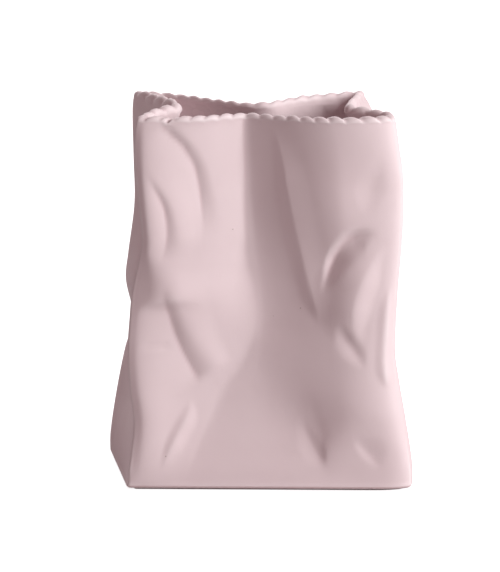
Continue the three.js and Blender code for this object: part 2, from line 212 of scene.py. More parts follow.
front_bends = [
    bend(FRONT_BULGE, 0.45, [
        [0, 0.05, 0], [0.06, 0.05, -0.5], [0.1, 0.05, -0.7], [0.2, 0.05, -0.9],
        [0.3, 0.05, -0.8], [0.4, 0.05, -0.6], [0.45, 0.05, -0.6], [0.485, 0.06, -0.8],
        [0.51, 0.12, -1.7], [0.55, 0.12, -1.8], [0.6, 0.08, -1.4], [0.64, 0.045, -1],
        [0.72, 0.035, -0.9], [0.85, 0.045, -1], [0.94, 0.045, -0.8], [1, 0.04, -0.3],
    ]),
    bend(FRONT_DENT, 0.45, [
        [0, 0.15, 0], [0.05, 0.16, 0.05], [0.1, 0.17, 0.14], [0.16, 0.18, 0.22], [0.27, 0.2, 0.24],
        [0.38, 0.23, 0.2], [0.49, 0.27, 0.1], [0.54, 0.27, 0.1], [0.6, 0.25, 0.18], [0.7, 0.22, 0.28],
        [0.81, 0.22, 0.31], [0.92, 0.22, 0.22], [1, 0.23, 0.1],
    ]),
    bend(FRONT_DENT, 0.12, [
        [0, 0.2, 0], [0.05, 0.215, 0.09], [0.1, 0.235, 0.26], [0.16, 0.27, 0.41],
        [0.21, 0.305, 0.5], [0.27, 0.35, 0.56], [0.32, 0.405, 0.61], [0.36, 0.437, 0.64, 0.15],
        [0.42, 0.452, 0.68, 0.35], [0.48, 0.447, 0.71, 0.4], [0.54, 0.43, 0.75, 0.35],
        [0.6, 0.404, 0.8, 0.2], [0.65, 0.392, 0.86, 0.15], [0.75, 0.394, 0.92],
        [0.9, 0.411, 0.925], [1, 0.411, 0.91],
    ]),
    bend(FRONT_DENT, 0.5, [
        [0, 0.67, 0], [0.05, 0.67, 0.08], [0.1, 0.655, 0.25], [0.16, 0.62, 0.42],
        [0.21, 0.58, 0.47], [0.27, 0.54, 0.49], [0.32, 0.52, 0.51], [0.38, 0.52, 0.57],
        [0.43, 0.525, 0.66], [0.48, 0.525, 0.69], [0.54, 0.51, 0.71], [0.6, 0.49, 0.75],
        [0.65, 0.465, 0.81], [0.75, 0.445, 0.87], [0.9, 0.445, 0.88], [1, 0.44, 0.88],
    ]),
    bend(FRONT_BULGE, 0.45, [
        [0, 0.72, 0], [0.05, 0.72, 0.2], [0.1, 0.715, -0.05], [0.16, 0.755, -0.6],
        [0.21, 0.775, -0.9], [0.27, 0.77, -0.9], [0.35, 0.76, -0.6], [0.43, 0.75, -0.3],
        [0.5, 0.75, -0.1], [0.6, 0.74, -0.3], [0.7, 0.72, -1.1], [0.75, 0.72, -1.5],
        [0.81, 0.715, -1.55], [0.87, 0.71, -1.4], [0.93, 0.695, -1.25], [1, 0.68, -1.3],
    ]),
    bend(FRONT_BULGE, 0.5, [
        [0, 0.9, 0], [0.05, 0.9, 0.1], [0.1, 0.9, 0.1], [0.16, 0.89, -0.6],
        [0.21, 0.88, -1.35], [0.27, 0.88, -1.45], [0.35, 0.88, -1.55], [0.43, 0.88, -1.4],
        [0.5, 0.87, -1.3], [0.6, 0.87, -1.2], [0.7, 0.87, -1.1], [0.75, 0.87, -0.95],
        [0.81, 0.87, -0.9], [0.87, 0.88, -1.35], [0.93, 0.88, -1.75], [1, 0.87, -2],
    ]),
]
back_bends = [
    bend(BACK_DENT, 0.4, [
        [0, 0.27, 0], [0.35, 0.26, 0.02], [0.6, 0.26, 0.12], [0.8, 0.27, 0.26], [1, 0.27, 0.4],
    ]),
    bend(BACK_DENT, 0.4, [
        [0, 0.45, 0], [0.15, 0.45, 0.04], [0.35, 0.44, 0.16],
        [0.55, 0.45, 0.4], [0.75, 0.46, 0.66], [1, 0.45, 1],
    ]),
    bend(BACK_DENT, 0.3, [
        [0, 0.8, 0], [0.35, 0.8, 0.02], [0.6, 0.82, 0.05], [0.8, 0.83, 0.02], [1, 0.84, 0],
    ]),
]
lip_bends = [
    bend(LIP_CURL, 0.45, [[0, 0.5, 0], [0.3, 0.5, 0.1], [0.6, 0.5, 0], [1, 0.5, -1]]),
]
belly_bends = [
    bend(LIP_CURL, 0.45, [
        [0, 0.5, 0], [0.2, 0.5, 0.2], [0.5, 0.5, -0.5], [0.75, 0.5, 0.3], [1, 0.5, 0],
    ]),
]
print("bends:", len(front_bends), "on the front,", len(back_bends), "on the back")

# %% [markdown]
# ## Creases in a panel
# Smaller creases stop partway. They could be sculpted by hand, but a written path can be moved and
# tried again. Each crease lifts the paper along its path and fades to either side and at both ends; a
# negative rise makes a valley. A pleat is a step: the paper drops, then climbs a steep bank to its rise.
# A path is written in shares across and up the panel. Rises and widths are multiples of a common lift
# and reach in millimetres, so that the whole crumpling can be made stronger or softer at once.

# %% What a crease is: a path, a rise, a width to either side and two fading ends
CREASE_LIFT = 1.15
CREASE_REACH = 10
PATH_POINTS = 33


def flowing_path(corners):
    corners = np.array(corners, float)
    ends = np.vstack([corners[0], corners, corners[-1]])
    places = []
    for step in np.linspace(0, len(corners) - 1, PATH_POINTS):
        leg = min(int(step), len(corners) - 2)
        part = step - leg
        before, start, end, after = ends[leg:leg + 4]
        start_slope = (end - before) / 2
        end_slope = (after - start) / 2
        rest = 1 - part
        place = (1 + 2 * part) * rest**2 * start + part * rest**2 * start_slope
        place = place + (1 + 2 * rest) * part**2 * end - rest * part**2 * end_slope
        places.append(place)
    return np.array(places)


def crease(corners, rise, widths, ends, sharpness):
    return SimpleNamespace(
        path=flowing_path(corners), rise=rise, drop=0, bank=0,
        widths=widths, ends=ends, sharpness=sharpness,
    )


def pleat(corners, drop, rise, bank, widths, ends):
    return SimpleNamespace(
        path=flowing_path(corners), rise=rise, drop=drop, bank=bank,
        widths=widths, ends=ends, sharpness=0,
    )


bow = flowing_path([[0, 0], [0.5, 0.2], [1, 0]])
print("a path through three corners has", len(bow), "points and rises to", bow[:, 1].max().round(2))

# %% Pleats and marks on the left of the front
shoulder_pleat = pleat(
    [[0.085, 0.98], [0.145, 0.95], [0.188, 0.916], [0.223, 0.867], [0.233, 0.813],
     [0.236, 0.758], [0.233, 0.7], [0.226, 0.64]],
    drop=1.1, rise=0.6, bank=0.8, widths=(1.7, 3), ends=(0.15, 0.4),
)
fold_pleat = pleat(
    [[0.03, 0.86], [0.065, 0.813], [0.093, 0.763], [0.1, 0.71], [0.095, 0.655], [0.085, 0.605]],
    drop=0.8, rise=0.5, bank=0.6, widths=(1, 1.8), ends=(0.4, 0.3),
)
slanting_pleat = pleat(
    [[0.115, 0.545], [0.125, 0.52], [0.155, 0.455], [0.193, 0.39], [0.235, 0.325], [0.264, 0.285]],
    drop=1.15, rise=1, bank=0.9, widths=(2, 2.4), ends=(0.55, 0.15),
)
low_ridge = crease(
    [[0.222, 0.235], [0.2, 0.2], [0.163, 0.152], [0.135, 0.1], [0.113, 0.06]],
    rise=1, widths=(0.5, 0.8), ends=(0.4, 0.4), sharpness=0.2,
)
thin_mark = crease(
    [[0.04, 0.38], [0.085, 0.386], [0.14, 0.386], [0.167, 0.391]],
    rise=-0.4, widths=(0.3, 0.3), ends=(0.3, 0.4), sharpness=0.3,
)
left_creases = [shoulder_pleat, fold_pleat, slanting_pleat, low_ridge, thin_mark]
print("creases on the left of the front:", len(left_creases))

# %% Ridges and valleys on the right of the front
long_ridge = crease(
    [[0.513, 0.98], [0.537, 0.935], [0.552, 0.88], [0.56, 0.81], [0.574, 0.745],
     [0.592, 0.677], [0.622, 0.617], [0.656, 0.554], [0.69, 0.492], [0.71, 0.45]],
    rise=1.1, widths=(0.8, 1.4), ends=(0.35, 0.2), sharpness=0.6,
)
slash_valley = crease(
    [[0.885, 0.688], [0.85, 0.692], [0.812, 0.684], [0.775, 0.662], [0.746, 0.625],
     [0.729, 0.58], [0.714, 0.532]],
    rise=-2.5, widths=(0.6, 1.2), ends=(0.45, 0.35), sharpness=0.3,
)
slash_ridge = crease(
    [[0.9, 0.663], [0.864, 0.609], [0.84, 0.554], [0.826, 0.5], [0.829, 0.445], [0.85, 0.38]],
    rise=2.5, widths=(2.6, 1.05), ends=(0.4, 0.4), sharpness=0.2,
)
edge_ridge = crease(
    [[0.945, 0.554], [0.95, 0.486], [0.952, 0.405], [0.945, 0.323], [0.935, 0.28]],
    rise=1.4, widths=(0.8, 0.7), ends=(0.3, 0.25), sharpness=0.3,
)
short_valley = crease(
    [[0.781, 0.454], [0.81, 0.41], [0.843, 0.372], [0.868, 0.334]],
    rise=-1.1, widths=(0.8, 0.6), ends=(0.4, 0.4), sharpness=0.3,
)
upper_dimple = crease(
    [[0.908, 0.9], [0.87, 0.84], [0.852, 0.785], [0.848, 0.742]],
    rise=-0.6, widths=(0.9, 0.9), ends=(0.5, 0.5), sharpness=0,
)
low_valley = crease(
    [[0.61, 0.19], [0.633, 0.145], [0.66, 0.1], [0.68, 0.065]],
    rise=-0.6, widths=(1, 0.6), ends=(0.5, 0.3), sharpness=0.3,
)
corner_valley = crease(
    [[0.795, 0.145], [0.825, 0.118], [0.853, 0.09], [0.88, 0.06]],
    rise=-0.7, widths=(0.5, 1.3), ends=(0.4, 0.4), sharpness=0.3,
)
right_creases = [
    long_ridge, slash_valley, slash_ridge, edge_ridge,
    short_valley, upper_dimple, low_valley, corner_valley,
]
front_creases = left_creases + right_creases
print("creases on the right of the front:", len(right_creases))

# %% Creases on the back
back_creases = [
    crease([[0.2, 0.98], [0.24, 0.8], [0.22, 0.62]],
           rise=2.4, widths=(1, 1.1), ends=(0.1, 0.5), sharpness=0.4),
    crease([[0.66, 0.95], [0.68, 0.75], [0.76, 0.55], [0.84, 0.45]],
           rise=-2.4, widths=(1.2, 1), ends=(0.2, 0.4), sharpness=0.6),
    crease([[0.16, 0.52], [0.25, 0.4], [0.3, 0.28]],
           rise=-2.4, widths=(1.1, 0.9), ends=(0.4, 0.4), sharpness=0.5),
    crease([[0.62, 0.46], [0.7, 0.34], [0.82, 0.26]],
           rise=2, widths=(1.1, 1.1), ends=(0.4, 0.4), sharpness=0.4),
]
print("creases on the back:", len(back_creases))

# %% [markdown]
# ## How far the creases lift a panel
# For every point the nearest place on a crease's path is found. How far away that is, and on which
# side, gives the lift. This is measured in millimetres, so a crease keeps its width on any panel.

# %% Lift of a panel
BANK_AT_START = 0.5
NARROW_END = 0.4


def crease_lift(creases, panel_width, across, up):
    lift = np.zeros_like(across)
    scale = np.array([panel_width, BAG_HEIGHT])
    points = np.column_stack([across, np.full_like(across, up)]) * scale
    for fold in creases:
        path = fold.path * scale
        starts = path[:-1]
        legs = path[1:] - starts
        offsets = points[:, None, :] - starts[None, :, :]
        part = np.clip((offsets * legs).sum(2) / (legs**2).sum(1), 0, 1)
        misses = offsets - part[:, :, None] * legs
        distances = np.hypot(misses[:, :, 0], misses[:, :, 1])
        nearest = distances.argmin(1)
        rows = np.arange(len(points))
        turn = legs[:, 0] * offsets[:, :, 1] - legs[:, 1] * offsets[:, :, 0]
        on_right = turn[rows, nearest] > 0
        place = (nearest + part[rows, nearest]) / len(legs)
        fade = smooth_rise(place, 0, fold.ends[0]) * smooth_rise(1 - place, 0, fold.ends[1])
        reach = CREASE_REACH * np.where(on_right, fold.widths[1], fold.widths[0])
        distance = distances[rows, nearest]
        if fold.bank:
            bank = CREASE_REACH * fold.bank * (BANK_AT_START + place)
            climb = np.sin(math.pi / 2 * np.clip(distance / bank, 0, 1))
            bank_side = (fold.drop + fold.rise) * climb - fold.drop
            far_side = fold.rise * smooth_rise(reach - distance, 0, reach - bank)
            left_side = -fold.drop * np.clip(1 - distance / reach, 0, 1) ** 2
            right_side = np.where(distance < bank, bank_side, far_side)
            lift += CREASE_LIFT * fade * np.where(on_right, right_side, left_side)
        else:
            narrowed = reach * (NARROW_END + (1 - NARROW_END) * fade)
            near = np.clip(1 - distance / narrowed, 0, 1)
            shape = (1 - fold.sharpness) * smooth_rise(near, 0, 1) + fold.sharpness * near**2
            lift += CREASE_LIFT * fold.rise * fade * shape
    return lift


middle_lift = crease_lift(front_creases, FOOT_WIDTH, np.linspace(0, 1, FOOT_WIDTH), 0.5)
low_lift, high_lift = middle_lift.min().round(1), middle_lift.max().round(1)
print("front creases at mid height, in mm:", low_lift, "to", high_lift)

# %% [markdown]
# ## The loop of panels
# Seen from above, six panels go round the bag from fold to fold. Every panel is given a whole number
# of rim teeth, and eight columns of points for each tooth, so that the columns of all panels make one
# ring that can be drawn upwards. The teeth differ round the rim: each kind says how broad its teeth
# are, how big they are along the panel, how pinched their nicks are, and whether they lean inwards.

# %% Panels
COLUMNS_PER_TOOTH = 8


def heading(start, end):
    return (end - start) / np.linalg.norm(end - start)


def outward(direction):
    return np.array([direction[1], -direction[0]])


def stations_at(panel, up):
    start, end = panel.start(up), panel.end(up)
    facing = outward(heading(start, end))
    inner = []
    for fold in panel.bends:
        across, share = fold.curve(up)[:2]
        inner.append(start + (end - start) * across - facing * fold.depth * share)
    return np.array([start, *inner, end])


def make_panel(start, end, bends, creases, teeth):
    panel = SimpleNamespace(start=start, end=end, bends=bends, creases=creases, **teeth)
    rim_length = np.linalg.norm(np.diff(stations_at(panel, 1), axis=0), axis=1).sum()
    panel.teeth = round(rim_length / (TOOTH_PITCH * panel.breadth))
    panel.columns = panel.teeth * COLUMNS_PER_TOOTH
    return panel


FRONT_TEETH = {"breadth": 1, "sizes": [0.45, 0.5, 0.8], "nick": 0.8, "lean": 0}
SIDE_TEETH = {"breadth": 1, "sizes": [0.8], "nick": 0.8, "lean": 0}
BACK_TEETH = {"breadth": 1.15, "sizes": [0.4, 0.4, 0.4, 0.4, 0.4], "nick": 1.6, "lean": 0}
FAT_TEETH = {"breadth": 1.4, "sizes": [1.5], "nick": 0.9, "lean": 1}
panels = [
    make_panel(front_left, front_right, front_bends, front_creases, FRONT_TEETH),
    make_panel(front_right, right_crease, lip_bends, [], SIDE_TEETH),
    make_panel(right_crease, back_right, belly_bends, [], SIDE_TEETH),
    make_panel(back_right, back_left, back_bends, back_creases, BACK_TEETH),
    make_panel(back_left, left_crease, belly_bends, [], FAT_TEETH),
    make_panel(left_crease, front_left, lip_bends, [], SIDE_TEETH),
]
COLUMNS = sum(panel.columns for panel in panels)
corner_columns = np.cumsum([0] + [panel.columns for panel in panels[:-1]])
print("teeth round the rim:", sum(panel.teeth for panel in panels), "columns:", COLUMNS)

# %% [markdown]
# ## Softening the folds
# Slip rounds every sharp fold of the paper model. Averaging each point with its neighbours in the row
# does the same next to a corner: more passes over a wider strip give a rounder fold. The front right
# fold is hardly a fold at all, more a broad turn. Averaging also draws a corner in, so most of that
# is given back, and the bag keeps its width.

# %% Round the corner folds: columns to either side, passes, and the share of the width given back
FOLD_SOFTENING = [(5, 4, 0), (34, 220, 0.9), (9, 22, 0), (7, 7, 0), (7, 6, 0), (8, 14, 0)]
FOOT_SOFTENING = 0.7
SOFT_HEIGHT = 40


def soften(sharp_row, height):
    row = sharp_row.copy()
    for corner, (reach, passes, given_back) in zip(corner_columns, FOLD_SOFTENING):
        away = np.arange(-reach, reach + 1)
        strip = (corner + away) % COLUMNS
        near = np.cos(math.pi / 2 * away / (reach + 1)) ** 2
        for _ in range(passes):
            beside = (row[strip - 1] + row[(strip + 1) % COLUMNS]) / 2
            row[strip] += near[:, None] * (beside - row[strip]) / 2
        drawn_in = np.abs(sharp_row[strip, 0]).max() - np.abs(row[strip, 0]).max()
        row[strip, 0] += given_back * drawn_in * near * np.sign(row[strip, 0])
    share = FOOT_SOFTENING + (1 - FOOT_SOFTENING) * smooth_rise(height, 0, SOFT_HEIGHT)
    return sharp_row + (row - sharp_row) * share


print("softened folds:", len(FOLD_SOFTENING))

# %% [markdown]
# ## One row of the skin
# At a given height the outer skin runs through the stations with its bends rounded, lifted by the
# creases. The inner skin is the same line moved in by the wall. Where two panels meet it has to stop
# short or run on, exactly as the inside of a mitred picture frame does.

# %% The rounded line through a panel's stations
BEND_POINTS = 61


def rounded_line(panel, stations, up):
    corners = [stations[0]]
    turn = np.linspace(0, 1, BEND_POINTS)[:, None]
    for index, fold in enumerate(panel.bends, start=1):
        corner = stations[index]
        softness = fold.curve(up)[2]
        before = corner + (stations[index - 1] - corner) * softness
        after = corner + (stations[index + 1] - corner) * softness
        corners.extend(before * (1 - turn) ** 2 + corner * 2 * turn * (1 - turn) + after * turn**2)
    corners.append(stations[-1])
    return np.array(corners)


def along_line(line, share):
    steps = np.linalg.norm(np.diff(line, axis=0), axis=1)
    places = np.concatenate([[0], np.cumsum(steps)])
    distance = share * places[-1]
    points = np.column_stack([np.interp(distance, places, line[:, axis]) for axis in (0, 1)])
    short = np.minimum(distance, 0)[:, None] * heading(line[0], line[1])
    over = np.maximum(distance - places[-1], 0)[:, None] * heading(line[-2], line[-1])
    return points + short + over


print("points round each bend:", BEND_POINTS)

# %% Rows of points
FOLD_CLEARANCE = 0.08


def mitre(incoming, leaving):
    crossing = incoming[0] * leaving[1] - incoming[1] * leaving[0]
    return WALL * crossing / (1 + incoming @ leaving)


def panel_row(panel, before, after, up, inside):
    stations = stations_at(panel, up)
    line = rounded_line(panel, stations, up)
    share = np.arange(panel.columns) / panel.columns
    first_way = heading(stations[0], stations[1])
    last_way = heading(stations[-2], stations[-1])
    run = share
    if inside:
        earlier, later = stations_at(before, up), stations_at(after, up)
        length = np.linalg.norm(np.diff(line, axis=0), axis=1).sum()
        first = mitre(heading(earlier[-2], earlier[-1]), first_way) / length
        last = 1 - mitre(last_way, heading(later[0], later[1])) / length
        run = first + (last - first) * share
    points = along_line(line, run)
    way = heading(stations[0], stations[-1])
    width = np.linalg.norm(stations[-1] - stations[0])
    across = (points - stations[0]) @ way / width
    clear = smooth_rise(share, 0, FOLD_CLEARANCE) * smooth_rise(1 - share, 0, FOLD_CLEARANCE)
    lift = np.outer(clear * crease_lift(panel.creases, width, across, up), outward(way))
    if inside:
        turn = smooth_rise(share, 0, 1)[:, None]
        facing = outward(first_way) * (1 - turn) + outward(last_way) * turn
        points = points - WALL * facing / np.linalg.norm(facing, axis=1, keepdims=True)
    return points, lift


def skin_row(height, inside):
    up = height / BAG_HEIGHT
    neighbours = zip(panels, panels[-1:] + panels[:-1], panels[1:] + panels[:1])
    rows = [panel_row(panel, before, after, up, inside) for panel, before, after in neighbours]
    bare = np.vstack([points for points, lift in rows])
    return soften(bare, height) + np.vstack([lift for points, lift in rows])


outer_rim, inner_rim = skin_row(BAG_HEIGHT, False), skin_row(BAG_HEIGHT, True)
rim_steps = np.linalg.norm(np.diff(outer_rim, axis=0), axis=1)
print("rim length in mm:", round(rim_steps.sum()))

# %% [markdown]
# ## The pinked rim
# Pinking shears cut a bag's top in a row of small teeth. In porcelain they soften to round beads with
# a nick between them. A cutter could be repeated along the rim, but a wave along the columns gives
# the rim's height everywhere at once, from nick to nick, and lets the teeth grow and shrink.

# %% The wave of the teeth
TOOTH_UNEVEN = 0.15
TOOTH_RHYTHM = 2.4

columns = np.arange(COLUMNS)
phase = columns / COLUMNS_PER_TOOTH + 0.5
tooth_places = []
tooth_sizes = []
for corner, panel in zip(corner_columns, panels):
    shares = (np.arange(len(panel.sizes)) + 0.5) / len(panel.sizes)
    tooth_places.extend(corner + shares * panel.columns)
    tooth_sizes.extend(panel.sizes)
tooth_size = np.interp(columns, tooth_places, tooth_sizes, period=COLUMNS)
nick_shape = np.concatenate([np.full(panel.columns, panel.nick) for panel in panels])
uneven = 1 + TOOTH_UNEVEN * np.sin(TOOTH_RHYTHM * np.floor(phase))
tooth_wave = np.abs(np.sin(math.pi * phase)) ** nick_shape * tooth_size * uneven
print("tallest tooth in mm:", round(TOOTH_HEIGHT * tooth_wave.max(), 1))

# %% The height of the rim: it rises towards the back, and one nick in the front is deep
NICK_BOTTOM = 1
NICK_PLACE = 0.112
NICK_DEPTH = 3.2
NICK_WIDTH = 0.011
RISE_SHARES = [0, 1, 1, 0.8, 0, 0, 1, 0]

back_corner, back_columns = corner_columns[3], panels[3].columns
back_quarter, back_middle = back_corner + back_columns / 4, back_corner + back_columns / 2
rise_places = [*corner_columns[1:4], back_quarter, back_middle, *corner_columns[4:], COLUMNS]
back_lift = np.interp(columns, rise_places, RISE_SHARES)
across_front = columns / panels[0].columns
nick = np.exp(-(((across_front - NICK_PLACE) / NICK_WIDTH) ** 2))
rim_height = BAG_HEIGHT - NICK_BOTTOM + TOOTH_HEIGHT * tooth_wave
rim_height = rim_height + BACK_RISE * back_lift - NICK_DEPTH * nick
print("rim from", rim_height.min().round(1), "to", rim_height.max().round(1), "mm")

# %% The swelling of the teeth across the wall
TOOTH_SWELL = 0.7
INNER_SWELL = 0.5
LEAN_SHIFT = 0.7

inward_lean = np.concatenate([np.full(panel.columns, panel.lean) for panel in panels])
wall_way = outer_rim - inner_rim
wall_way = wall_way / np.linalg.norm(wall_way, axis=1, keepdims=True)
swell = TOOTH_SWELL * (tooth_wave * tooth_size)[:, None] * wall_way
outer_swell = swell * (1 - LEAN_SHIFT * inward_lean)[:, None]
inner_swell = swell * (INNER_SWELL + LEAN_SHIFT * inward_lean)[:, None]
print("widest swelling in mm:", np.linalg.norm(swell, axis=1).max().round(1))

# %% [markdown]
# ## Drawing the wall
# A potter pulls a wall up from the foot, and the mesh is made the same way: a ring of points is
# extruded again and again, first out across the foot, up the outside, over the teeth, down the inside
# and across the floor. Each new ring is moved to its own row of the skin. An integer layer remembers
# which column a point belongs to, because extruding copies it from ring to ring.

# %% Rings under the foot, written as inset and height, and up the outside
FOOT_RIM = 5
FOOT_HOLLOW = 0.8
FOOT_PROFILE = [
    (FOOT_RIM + 4, FOOT_HOLLOW), (FOOT_RIM + 3, 0), (FOOT_RIM, 0), (FOOT_RIM - 0.2, 1.3),
    (1.2, 1.5), (0.4, 2.1), (0, 3.1),
]
WALL_START = 4
ROW_STEP = 2.2


def inset_row(points, inset):
    return points * (half_foot - inset) / half_foot


def ring(points, heights, zone):
    heights = np.broadcast_to(heights, COLUMNS)
    return SimpleNamespace(places=np.column_stack([points, heights]), zone=zone)


rings = []
foot_row = skin_row(0, False)
for inset, height in FOOT_PROFILE:
    rings.append(ring(inset_row(foot_row, inset), height, "foot"))
roots = BAG_HEIGHT - TOOTH_ROOT
for height in np.linspace(WALL_START, roots, round((roots - WALL_START) / ROW_STEP)):
    rings.append(ring(skin_row(height, False), height, "outside"))
print("rings up to the roots of the teeth:", len(rings))

# %% Rings over the teeth
LIP_SHARE = 0.5
RIM_STEPS = 5
OUTER_PARTS = (0.3, 0.55, 0.8, 1)
INNER_PARTS = (1, 0.66, 0.33)

lip = LIP_SHARE * (rim_height - roots)
shoulders = rim_height - lip
for part in OUTER_PARTS:
    row = skin_row(roots + TOOTH_ROOT * part, False)
    rings.append(ring(row + outer_swell * part**3, roots + (shoulders - roots) * part, "outside"))
lip_out, lip_in = outer_rim + outer_swell, inner_rim - inner_swell
for step in range(1, RIM_STEPS + 1):
    angle = math.pi * step / (RIM_STEPS + 1)
    row = (lip_out + lip_in) / 2 + (lip_out - lip_in) / 2 * math.cos(angle)
    rings.append(ring(row, shoulders + lip * math.sin(angle), "outside"))
for part in INNER_PARTS:
    row = skin_row(roots + TOOTH_ROOT * part, True)
    rings.append(ring(row - inner_swell * part**2, roots + (shoulders - roots) * part, "outside"))
print("rings up to the inner roots:", len(rings))

# %% Rings down the inside and round to the floor
INNER_STEP = 4.4
FILLET = 5
FILLET_STEPS = 3

floor_top = FLOOR + FILLET
for height in np.linspace(roots, floor_top, round((roots - floor_top) / INNER_STEP)):
    rings.append(ring(skin_row(height, True), height, "inside"))
floor_row = skin_row(floor_top, True)
for step in range(1, FILLET_STEPS + 1):
    angle = math.pi / 2 * step / FILLET_STEPS
    inset = FILLET * (1 - math.cos(angle))
    rings.append(ring(inset_row(floor_row, inset), floor_top - FILLET * math.sin(angle), "inside"))
print("rings in all:", len(rings))

# %% Extrude ring after ring
ZONES = {"foot": 0, "outside": 1, "inside": 2}


def to_metres(places):
    return [Vector((x * MM + FOOT_MIDDLE.x, y * MM + FOOT_MIDDLE.y, z * MM)) for x, y, z in places]


bag_mesh = bmesh.new()
column_layer = bag_mesh.verts.layers.int.new("column")
zone_layer = bag_mesh.faces.layers.int.new("zone")
bmesh.ops.create_circle(bag_mesh, cap_ends=False, radius=FOOT_DEPTH / 2 * MM, segments=COLUMNS)
bag_mesh.verts.ensure_lookup_table()
first_places = to_metres(rings[0].places)
for column, vert in enumerate(bag_mesh.verts):
    vert[column_layer] = column
    vert.co = first_places[column]
ring_edges = list(bag_mesh.edges)
first_edges = list(ring_edges)
for row in rings[1:]:
    drawn = bmesh.ops.extrude_edge_only(bag_mesh, edges=ring_edges)["geom"]
    places = to_metres(row.places)
    for part in drawn:
        if isinstance(part, bmesh.types.BMVert):
            part.co = places[part[column_layer]]
        elif isinstance(part, bmesh.types.BMFace):
            part[zone_layer] = ZONES[row.zone]
    ring_edges = [part for part in drawn if isinstance(part, bmesh.types.BMEdge) and part.is_boundary]
print("points:", len(bag_mesh.verts), "faces:", len(bag_mesh.faces))

# %% [markdown]
# ## Closing the skin
# Two loops of edges are left open, one under the foot and one on the floor inside. Both are level, so a
# single face closes each, and no grid is needed. Then all faces are turned to point out of the clay.

# %% Close the underside and the floor
for edges, zone in ((first_edges, "foot"), (ring_edges, "inside")):
    for face in bmesh.ops.contextual_create(bag_mesh, geom=edges)["faces"]:
        face[zone_layer] = ZONES[zone]
bmesh.ops.recalc_face_normals(bag_mesh, faces=bag_mesh.faces)
print("open edges left:", sum(edge.is_boundary for edge in bag_mesh.edges))

# %% [markdown]
# ## A bead on one fold
# Along the front left fold the paper was pinched, and the casting keeps that as a thin raised line. It
# is too fine for the rows above, so the three columns at the fold are pushed out along their normals.

# %% A fine bead along the front left fold: rise in millimetres by column
BEAD = {COLUMNS - 1: 0.25, 0: 0.6, 1: 0.25}
BEAD_START = 6
BEAD_FULL = 12

bag_mesh.normal_update()
for vert in bag_mesh.verts:
    rise = BEAD.get(vert[column_layer], 0) * smooth_rise(vert.co.z / MM, BEAD_START, BEAD_FULL)
    vert.co += Vector((vert.normal.x, vert.normal.y, 0)) * rise * MM
print("bead raised by", BEAD[0], "mm")

# %% [markdown]
# ## Where hands rub, and painted shade in the creases
# On a used vase the folds and teeth are rubbed paler. The creases are painted a deeper pink, which is
# painted shade. How sharply the skin bends out or in at each point says where, so it is measured here
# and kept on the points for the material to read.

# %% Measure the bending of the skin
SOFT_BEND = 20
SHARP_BEND = 150

rubbed_layer = bag_mesh.verts.layers.float.new("rubbed")
# The crease value marks concave points, whose colour the material darkens as painted shade.
painted_shade_layer = bag_mesh.verts.layers.float.new("painted_crease_shade")
bag_mesh.normal_update()


def bending_at(vert):
    ways = [edge.other_vert(vert).co - vert.co for edge in vert.link_edges]
    return -2 * sum(way.dot(vert.normal) / way.length_squared for way in ways) / len(ways)


bending = {vert: bending_at(vert) for vert in bag_mesh.verts}
for vert in bag_mesh.verts:
    beside = [bending[edge.other_vert(vert)] for edge in vert.link_edges]
    average = (bending[vert] + sum(beside)) / (1 + len(beside))
    vert[rubbed_layer] = smooth_rise(average, SOFT_BEND, SHARP_BEND)
    # Concave points carry painted shade: the material darkens them towards a deeper pink.
    vert[painted_shade_layer] = smooth_rise(-average, SOFT_BEND, SHARP_BEND)
print("rubbed points:", sum(vert[rubbed_layer] > 0.5 for vert in bag_mesh.verts))

# %% [markdown]
# ## Porcelain
# The outside is unglazed bisque: matt, faintly grainy, with a slow drift of tone where the slip was a
# little thicker, paler on rubbed folds, with painted shade that deepens the pink in the creases, and
# with a few dark specks of iron.
# Painted pictures could give that too, but noise read at a point's own place in metres has no seams and
# stays sharp from close by. Each helper adds one step to a material and hands on the socket that
# carries its result, so that a finish reads as a recipe.

# %% A new material, and noise at a point's own place


def new_material(name):
    material = bpy.data.materials.new(name)
    material.use_nodes = True
    nodes = material.node_tree.nodes
    links = material.node_tree.links
    return material, nodes, links, nodes["Principled BSDF"]


def noise(nodes, links, scale, detail, roughness=0.5):
    place = nodes.new("ShaderNodeTexCoord")
    texture = nodes.new("ShaderNodeTexNoise")
    texture.inputs["Scale"].default_value = scale
    texture.inputs["Detail"].default_value = detail
    texture.inputs["Roughness"].default_value = roughness
    links.new(place.outputs["Object"], texture.inputs["Vector"])
    return texture.outputs["Fac"]


# %% A value brought from one range to another, and a product of two


def ranged(nodes, links, value, given, wanted):
    spread = nodes.new("ShaderNodeMapRange")
    spread.inputs["From Min"].default_value = given[0]
    spread.inputs["From Max"].default_value = given[1]
    spread.inputs["To Min"].default_value = wanted[0]
    spread.inputs["To Max"].default_value = wanted[1]
    links.new(value, spread.inputs["Value"])
    return spread.outputs["Result"]


def product(nodes, links, first, second):
    times = nodes.new("ShaderNodeMath")
    times.operation = "MULTIPLY"
    links.new(first, times.inputs[0])
    links.new(second, times.inputs[1])
    return times.outputs["Value"]


# %% One tone laid over another, values kept on the points, and grain


def tinted(nodes, links, factor, under, over):
    mix = nodes.new("ShaderNodeMix")
    mix.data_type = "RGBA"
    links.new(factor, mix.inputs["Factor"])
    if isinstance(under, tuple):
        mix.inputs["A"].default_value = under
    else:
        links.new(under, mix.inputs["A"])
    mix.inputs["B"].default_value = over
    return mix.outputs["Result"]


def kept_on_points(nodes, name):
    attribute = nodes.new("ShaderNodeAttribute")
    attribute.attribute_name = name
    return attribute.outputs["Fac"]


def grainy(nodes, links, shader, height, strength, distance):
    bump = nodes.new("ShaderNodeBump")
    bump.inputs["Strength"].default_value = strength
    bump.inputs["Distance"].default_value = distance
    links.new(height, bump.inputs["Height"])
    links.new(bump.outputs["Normal"], shader.inputs["Normal"])


# %% Iron specks, under a millimetre and far apart
SPECK_CELLS = 130
SPECK_EDGE = (0.03, 0.06)
SPECK_CHOICE = (0.9, 0.92)
SPECK_STRENGTH = 0.7


